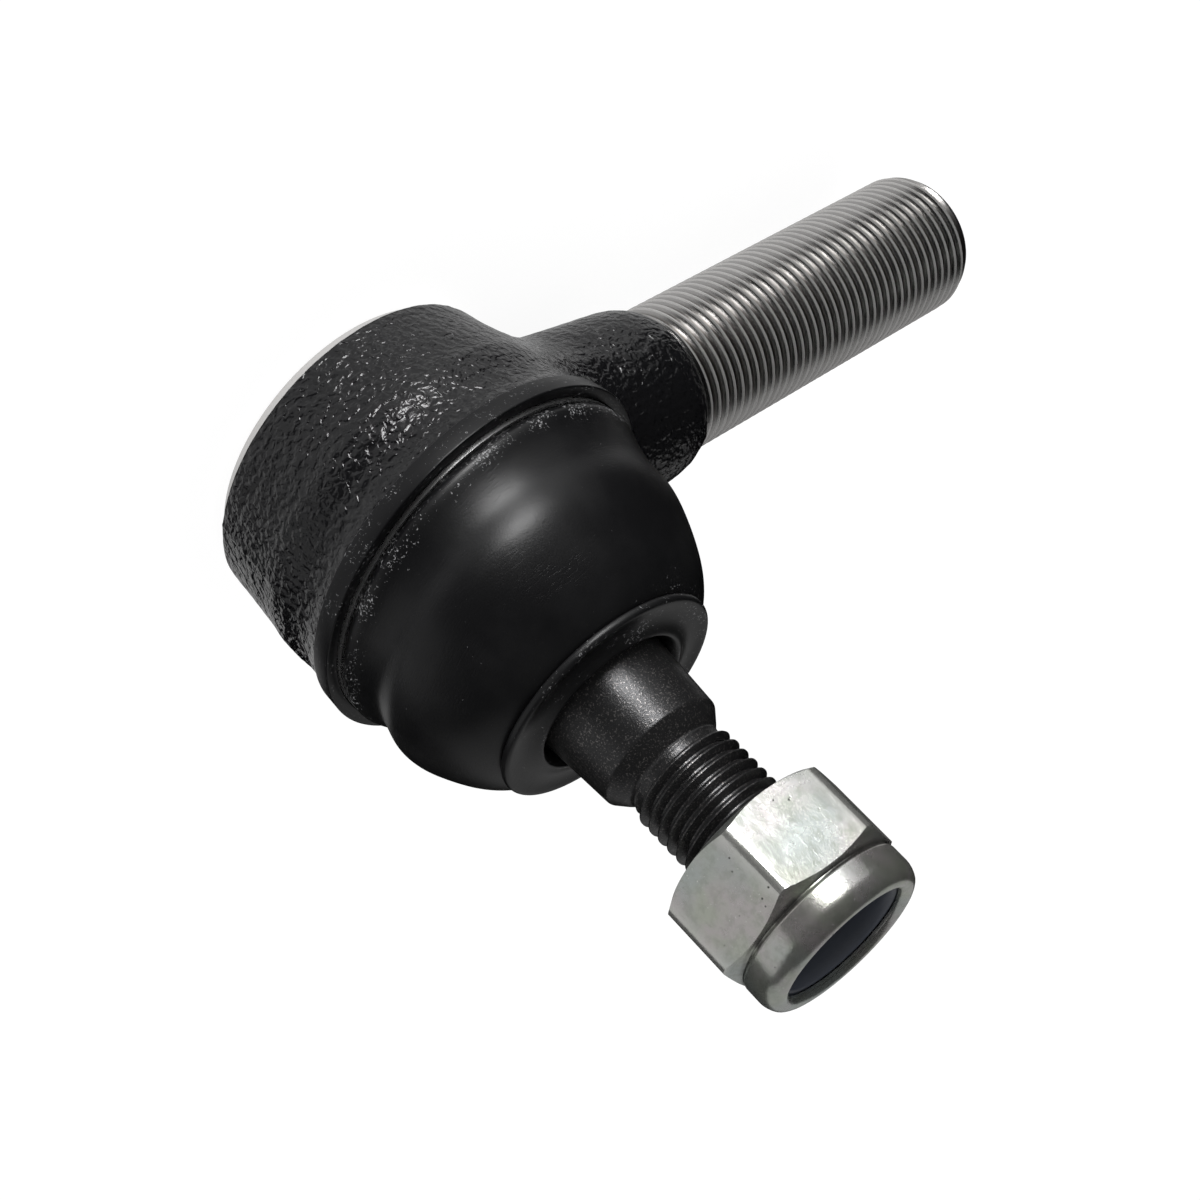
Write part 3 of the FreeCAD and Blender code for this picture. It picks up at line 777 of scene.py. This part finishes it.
mouth_cutter = turned([(0, MOUTH_FLOOR, 0), (MOUTH_RADIUS, MOUTH_FLOOR, 0),
                       (MOUTH_RADIUS, MOUTH_TOP, 0), (33.0, 34.0, 0), (0, 34.0, 0)],
                      closed=False, steps=288)
back_cutter = turned([(0, -6, 0), (BEYOND, -6, 0), (BEYOND, RIM_HEIGHT, 0), (0, RIM_HEIGHT, 0)],
                     closed=False)
cutters = scratch("cutters", joined(mouth_cutter, back_cutter))
forging = cut_with(scratch("skin", skin), cutters, "DIFFERENCE")
forging = piece("housing_forging", forging, "housing", [PAINT], crease=50)
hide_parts("housing")

# %% [markdown]
# ## The socket's machined faces
# The rim at the back, the bore, and the mouth at the front are all turned in one setting, so they are
# one turned piece inside the forged skin. The rim stays bare and bright, and its inner edge is rolled
# over the end cover. The mouth is painted, so the faces get one of two materials by their height.

# %% Rim, bore and mouth
INSIDE_SKIN = BORE + 0.01

socket = turned([
    (16.4, 0.0, 0.2), (19.2, 0.0, 0.15), (20.65, RIM_HEIGHT, 0), (INSIDE_SKIN, RIM_HEIGHT, 0),
    (INSIDE_SKIN, MOUTH_FLOOR, 0), (24.0, MOUTH_FLOOR, 0.1), (24.3, 24.2, 0.22), (22.8, 24.2, 0.12),
    (22.8, 21.8, 0), (19.6, 21.8, 0), (19.6, 24.2, 0.2), (14.2, 24.2, 0.3), (11.2, 19.4, 0.2),
    (17.0, 19.4, 0), (17.0, 2.35, 0), (17.9, 2.35, 0), (17.9, 0.85, 0), (16.4, 0.85, 0.1),
], steps=192)
for face in socket.faces:
    face.material_index = 0 if face.calc_center_median().z < RIM_HEIGHT - 0.01 else 1
piece("housing_socket", socket, "housing", [RIM_STEEL, SMOOTH_PAINT], crease=25)


# %% [markdown]
# ## Threads
# A thread is one V that climbs by its pitch in each turn. The spin operator does that when it is given
# a step along the axis: a whole row of V shapes, spun once, lands exactly on itself one pitch higher.
# A Screw modifier makes the same helix, but the crests must then be held inside an envelope, which
# makes the chamfer at the end and the place where the thread runs out, and the ends cut flat.

# %% Helper: a threaded rod along Z
PITCH = 1.5
THREAD_DEPTH = 0.86
CREST_FLAT, ROOT_FLAT = 0.17, 0.2
FLANK = (PITCH - CREST_FLAT - ROOT_FLAT) / 2
PROFILE = [(0, 0), (CREST_FLAT, 0), (CREST_FLAT + FLANK, THREAD_DEPTH),
           (CREST_FLAT + FLANK + ROOT_FLAT, THREAD_DEPTH)]


def threaded(crest_radius, start, stop, envelope, steps=120):
    """A right-hand thread between two heights, held inside (height, radius) points."""
    bm = bmesh.new()
    turns = math.ceil((stop - start) / PITCH) + 3
    row = [bm.verts.new((crest_radius - depth, 0, start + (turn - 2) * PITCH + rise))
           for turn in range(turns) for rise, depth in PROFILE]
    for pair in zip(row, row[1:]):
        bm.edges.new(pair)
    bmesh.ops.spin(bm, geom=bm.verts[:] + bm.edges[:], cent=(0, 0, 0), axis=(0, 0, 1),
                   dvec=(0, 0, PITCH / steps), angle=TURN, steps=steps)
    bmesh.ops.remove_doubles(bm, verts=bm.verts[:], dist=1e-3)
    for vert in bm.verts:
        radius = math.hypot(vert.co.x, vert.co.y)
        limit = float(at(vert.co.z, envelope))
        if radius > limit:
            vert.co.x *= limit / radius
            vert.co.y *= limit / radius
    for height, keep in ((start, "above"), (stop, "below")):
        bmesh.ops.edgeloop_fill(bm, edges=sliced(bm, height, keep))
    return closed_shell(bm)


print("thread of", PITCH, "mm pitch and", THREAD_DEPTH, "mm depth")

# %% [markdown]
# ### The shank
# The shank's thread is rolled on the end of the forging, so it is 20 mm over its crests with a chamfer
# at the free end. It is drawn along Z and then laid along X, through the ball's centre.

# %% The shank
SHANK_RADIUS = 9.97
SHANK_FROM, SHANK_TO = 33.0, 95.0

shank = threaded(SHANK_RADIUS, SHANK_FROM, SHANK_TO,
                 [(SHANK_FROM, 9.4), (39.0, 9.4), (39.6, 9.9), (40.2, SHANK_RADIUS),
                  (92.2, SHANK_RADIUS), (93.2, 9.65), (94.3, 9.05), (94.75, 8.7), (SHANK_TO, 8.3)])
bmesh.ops.transform(shank, matrix=ALONG_SHANK, verts=shank.verts[:])
piece("housing_shank", shank, "housing", [SHANK_STEEL], crease=24)

# %% [markdown]
# ## The ball stud
# Ball, waist, flare and taper are turned from one bar, and the thread follows above a short relief.
# Only the taper and the thread show; the ball is drawn as well, because the stud is one piece. The
# outline could hold the thread's teeth too, but then they would be rings, and a nut can't climb rings.

# %% Ball, waist, taper, relief and thread
BALL_RADIUS, BALL_FLAT_DROP = 12.0, 8.8
STUD_RADIUS = 6.92
THREAD_FROM, THREAD_TO = 58.0, 79.5

ball_arc = [(BALL_RADIUS * math.cos(math.radians(a)),
             BALL.z + BALL_RADIUS * math.sin(math.radians(a)), 0)
            for a in np.linspace(-47.2, 56.0, 26)]
stud = turned([(0, BALL.z - BALL_FLAT_DROP, 0)] + ball_arc + [
    (6.5, 24.6, 0.8), (6.5, 26.5, 2.0), (9.6, 31.0, 1.2), (8.05, 55.95, 0.18), (6.75, 57.6, 0.35),
    (6.2, 58.1, 0.2), (6.2, 60.5, 0), (0, 60.5, 0)], closed=False)
thread = threaded(STUD_RADIUS, THREAD_FROM, THREAD_TO,
                  [(THREAD_FROM, 6.25), (58.9, 6.3), (59.9, STUD_RADIUS), (78.4, STUD_RADIUS),
                   (THREAD_TO, 5.8)], steps=96)
stud = joined(stud, thread)
bmesh.ops.transform(stud, matrix=LEANING, verts=stud.verts[:])
stud = piece("stud_turned", stud, "stud", [PHOSPHATE], crease=28)
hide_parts("ball_stud")

# %% [markdown]
# ## The dust boot
# The boot is one rubber moulding: a foot in the socket's groove, a low shoulder, a belly and a stiff
# lip that hugs the taper. It is turned upright as a thick shell of few faces and smoothed by
# subdivision, which suits rubber better than bevelled corners. Then it is bent over with the stud,
# more and more from its foot to the end of its belly.

# %% The whole boot, upright and then bent
BOOT_OUTER = [
    (22.05, 22.0), (22.1, 24.4), (22.35, 24.95), (22.8, 25.35), (22.95, 25.95), (22.7, 26.7),
    (22.2, 27.7), (21.75, 29.1), (21.52, 30.4), (21.5, 31.4), (21.62, 32.6), (21.68, 33.9),
    (21.5, 35.3), (21.0, 37.0), (20.45, 38.4), (19.6, 40.2), (18.5, 42.2), (17.2, 43.9),
    (15.9, 45.1), (14.75, 45.85), (14.2, 46.05), (14.35, 46.15), (14.9, 46.1), (15.05, 46.35),
    (15.05, 46.85), (14.85, 47.15), (14.4, 47.2), (13.4, 46.95), (12.0, 46.95), (10.9, 47.3),
    (10.2, 47.65), (9.85, 47.6), (9.5, 47.0), (9.1, 46.0), (8.95, 45.2)]
BOOT_INNER = [(8.98, 44.5), (9.4, 44.1), (12.0, 44.1), (15.0, 43.2), (17.0, 41.6), (18.7, 39.0),
              (19.7, 36.0), (19.95, 33.5), (19.85, 31.0), (20.1, 28.8), (20.6, 26.8), (20.5, 25.2),
              (19.8, 24.5), (19.75, 22.0)]
BEND_FROM, BEND_TO = 25.5, 38.5

boot = scratch("boot", turned([(r, z, 0) for r, z in BOOT_OUTER + BOOT_INNER], steps=72))
subdivision = boot.modifiers.new("Smooth", "SUBSURF")
subdivision.levels = subdivision.render_levels = 2
boot = settled(boot)
upright, leaning = Quaternion(), LEAN.to_quaternion()
for vert in boot.verts:
    share = min(max((vert.co.z - BEND_FROM) / (BEND_TO - BEND_FROM), 0), 1)
    share = share * share * (3 - 2 * share)
    vert.co = about_ball(upright.slerp(leaning, share).to_matrix().to_4x4()) @ vert.co
print("boot:", len(boot.faces), "faces, lip at", round(max(v.co.z for v in boot.verts), 1), "mm")

# %% [markdown]
# ### Two halves
# The boot crosses both of the joint's tilts, and one piece can blend between only two bodies. So it is
# cut in two round the belly, and the two cut edges of each half are bridged to close it.

# %% Cut at the belly into a lower and an upper half
BELLY = 35.0


def boot_half(name, keep):
    bm = boot.copy()
    bmesh.ops.bridge_loops(bm, edges=sliced(bm, BELLY, keep))
    bmesh.ops.recalc_face_normals(bm, faces=bm.faces[:])
    obj = piece(name, bm, None, [RUBBER], crease=60)
    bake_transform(obj)
    return obj


boot_half("boot_lower", "below")
upper = boot_half("boot_upper", "above")
boot.free()
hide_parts("dust_boot")

# %% [markdown]
# ## The lock nut
# A lock nut starts as a turned blank with its chamfers, its groove and a thin collar rolled over the
# nylon ring. The hexagon is what is left when the flats are milled: the blank and a hexagonal bar in
# one, which a boolean intersection gives, chamfer arcs and all.

# %% The turned blank
NUT_BASE = 70.1


def above_base(corners):
    """A nut's outline, with its heights measured from the nut's base."""
    return [(radius, NUT_BASE + height, rounding) for radius, height, rounding in corners]


blank = turned(above_base([
    (7.9, 0, 0), (10.8, 0, 0.3), (13.4, 1.8, 0), (13.4, 9.35, 0), (10.75, 10.85, 0.1),
    (10.5, 11.1, 0.15), (10.85, 11.6, 0.15), (10.85, 14.6, 0.9), (10.0, 15.75, 0.6),
    (8.9, 16.0, 0.35), (8.15, 15.5, 0.3), (8.15, 14.95, 0), (9.35, 14.65, 0), (9.35, 10.95, 0),
    (7.0, 10.95, 0), (7.0, 0.9, 0)]), steps=180)
print("blank:", len(blank.faces), "faces")

# %% The hexagonal bar, and what the two have in common
ACROSS_FLATS = 22.0
NUT_TURN = math.radians(219.8)
CORNER_ROUND = 0.85
CREASE = 22

bar = bmesh.new()
bmesh.ops.create_circle(bar, cap_ends=True, segments=6, radius=ACROSS_FLATS / math.sqrt(3),
                        matrix=Matrix.Rotation(NUT_TURN, 4, "Z"))
bmesh.ops.translate(bar, verts=bar.verts[:], vec=(0, 0, NUT_BASE - 3))
grown = bmesh.ops.extrude_face_region(bar, geom=bar.faces[:])
top = [part for part in grown["geom"] if isinstance(part, bmesh.types.BMVert)]
bmesh.ops.translate(bar, verts=top, vec=(0, 0, ACROSS_FLATS))
upright_edges = [e for e in bar.edges if abs(e.verts[0].co.z - e.verts[1].co.z) > 1]
bmesh.ops.bevel(bar, geom=upright_edges, offset=CORNER_ROUND, offset_type="OFFSET", segments=4,
                profile=0.5, affect="EDGES", material=-1)
bmesh.ops.recalc_face_normals(bar, faces=bar.faces[:])
nut = cut_with(scratch("blank", blank), scratch("bar", bar), "INTERSECT")
bmesh.ops.transform(nut, matrix=LEANING, verts=nut.verts[:])
nut = piece("nut_steel", nut, "nut", [ZINC], crease=CREASE)
soften = nut.modifiers.new("Soften", "BEVEL")
soften.width, soften.segments = 0.0002, 2
soften.limit_method, soften.angle_limit = "ANGLE", math.radians(CREASE)
soften.harden_normals = True
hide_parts("lock_nut")

# %% [markdown]
# ### The nylon ring
# The ring grips the stud's thread and stops the nut from working loose. It is a plain turned ring, a
# little smaller inside than the thread, with a round mouth. It rides on the nut's carrier, which
# travels but doesn't turn, and since the ring is round nobody can see that.

# %% The nylon ring
nylon = turned(above_base([(6.98, 11.0, 0.1), (9.3, 11.0, 0.1), (9.3, 14.6, 0.1), (7.7, 14.9, 0.4),
                           (7.1, 14.0, 0.5), (6.98, 12.5, 0)]))
bmesh.ops.transform(nylon, matrix=LEANING, verts=nylon.verts[:])
nylon = piece("nut_nylon_ring", nylon, "nut_carrier", [NYLON], crease=40)
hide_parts("nut_insert")

# %% [markdown]
# ## Pieces that stay as they were packed
# The bearings, the spring, the cover and the two rings are already the right shape. Drawing them again
# would gain nothing, so they only get their finishes.

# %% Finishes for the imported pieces
FINISHES = {"upper_bearing": ACETAL, "lower_bearing": ACETAL, "preload_spring": SPRING_STEEL,
            "end_cover": COVER_STEEL, "boot_base_ring": RING_STEEL, "lip_ring": RING_STEEL}
for name, material in FINISHES.items():
    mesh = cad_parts[name].data
    mesh.materials.clear()
    mesh.materials.append(material)
print("finished in place:", sorted(FINISHES))

# %% [markdown]
# ## Floor
# Black paint and rubber show only what they reflect. A plain pale floor would lie in them as a grey
# sheen, so it glows a little by itself, casts no shadow on the joint and stays out of its reflections.

# %% Floor
FLOOR_HALF, FLOOR_DROP = 4.0, 0.0003

floor = bmesh.new()
bmesh.ops.create_grid(floor, x_segments=1, y_segments=1, size=FLOOR_HALF)
bmesh.ops.translate(floor, verts=floor.verts[:], vec=(0, 0, -FLOOR_DROP))
floor = scratch("floor", floor)
pale, _, shader = new_material("pale_floor")
finish(shader, Base_Color=(0.12, 0.12, 0.12), Roughness=0.9, Emission_Color=(1, 1, 1),
       Emission_Strength=0.92)
floor.data.materials.append(pale)
floor.visible_glossy = False
floor.visible_shadow = False
print("floor:", 2 * FLOOR_HALF, "m wide")

# %% [markdown]
# ## Lights
# Soft panels draw the shape of a dark, shiny thing: a key panel beside the socket makes the highlight
# on the boot's belly, a paler one lies round it, and weak ones lift the other sides. Each is given by
# its direction and by how bright its face is, so that a panel can be made larger without glaring. The
# world lights the surfaces but isn't reflected in them, which keeps the blacks black.

# %% World and panels
world = bpy.data.worlds.new("studio")
world.use_nodes = True
backdrop = world.node_tree.nodes["Background"]
backdrop.inputs["Color"].default_value = (1, 1, 1, 1)
backdrop.inputs["Strength"].default_value = 0.95
bpy.context.scene.world = world
world.cycles_visibility.glossy = False
LIT_POINT = Vector((0.015, 0.0, 0.03))


def panel(name, toward, distance, width, height, radiance, diffuse=False):
    """A soft panel that faces the joint from a direction, with an even brightness."""
    light = bpy.data.lights.new(name, "AREA")
    light.shape, light.size, light.size_y = "RECTANGLE", width, height
    light.energy = radiance * math.pi * width * height
    direction = Vector(toward).normalized()
    obj = bpy.data.objects.new(name, light)
    obj.matrix_world = (Matrix.Translation(LIT_POINT + direction * distance)
                        @ direction.to_track_quat("Z", "Y").to_matrix().to_4x4())
    bpy.context.scene.collection.objects.link(obj)
    obj.visible_diffuse = diffuse
    obj.visible_camera = False
    print(f"{name}: {light.energy:.2f} W")


panel("key", (-0.1, 0.975, -0.18), 0.6, 0.22, 0.2, 21.0, diffuse=True)
panel("key_surround", (0.25, 0.95, -0.25), 0.7, 0.7, 0.6, 0.55)
panel("below", (0.2, 0.1, -0.98), 0.55, 2.0, 1.7, 0.55)
panel("far_side", (0.05, -0.85, 0.5), 0.8, 1.4, 0.8, 0.35)
panel("left", (-0.94, -0.2, -0.26), 0.8, 0.7, 0.7, 0.45)

# %% [markdown]
# ## Camera
# The camera stands close, so that the nut looks large and the shank runs away from the eye. Three turns
# aim it: round the joint, down towards it, and a roll that lays the shank along the diagonal. The
# Standard view keeps the pale floor pale.

# %% Camera
CAMERA_PLACE = (-0.14724, 0.18705, 0.14159)
AROUND, TIPPED, ROLLED = (math.radians(a) for a in (-140.5181, 66.0895, 129.9713))

lens = bpy.data.cameras.new("camera")
lens.sensor_width = 36.0
lens.lens = 68.405
lens.shift_x, lens.shift_y = 0.0106, -0.0117
lens.clip_start, lens.clip_end = 0.01, 10
camera = bpy.data.objects.new("camera", lens)
camera.matrix_world = (Matrix.Translation(CAMERA_PLACE) @ Matrix.Rotation(AROUND, 4, "Z")
                       @ Matrix.Rotation(TIPPED, 4, "X") @ Matrix.Rotation(ROLLED, 4, "Z"))
bpy.context.scene.collection.objects.link(camera)
bpy.context.scene.camera = camera
bpy.context.scene.view_settings.view_transform = "Standard"
print("camera", round((Vector(CAMERA_PLACE) - LIT_POINT).length, 3), "m from the joint")
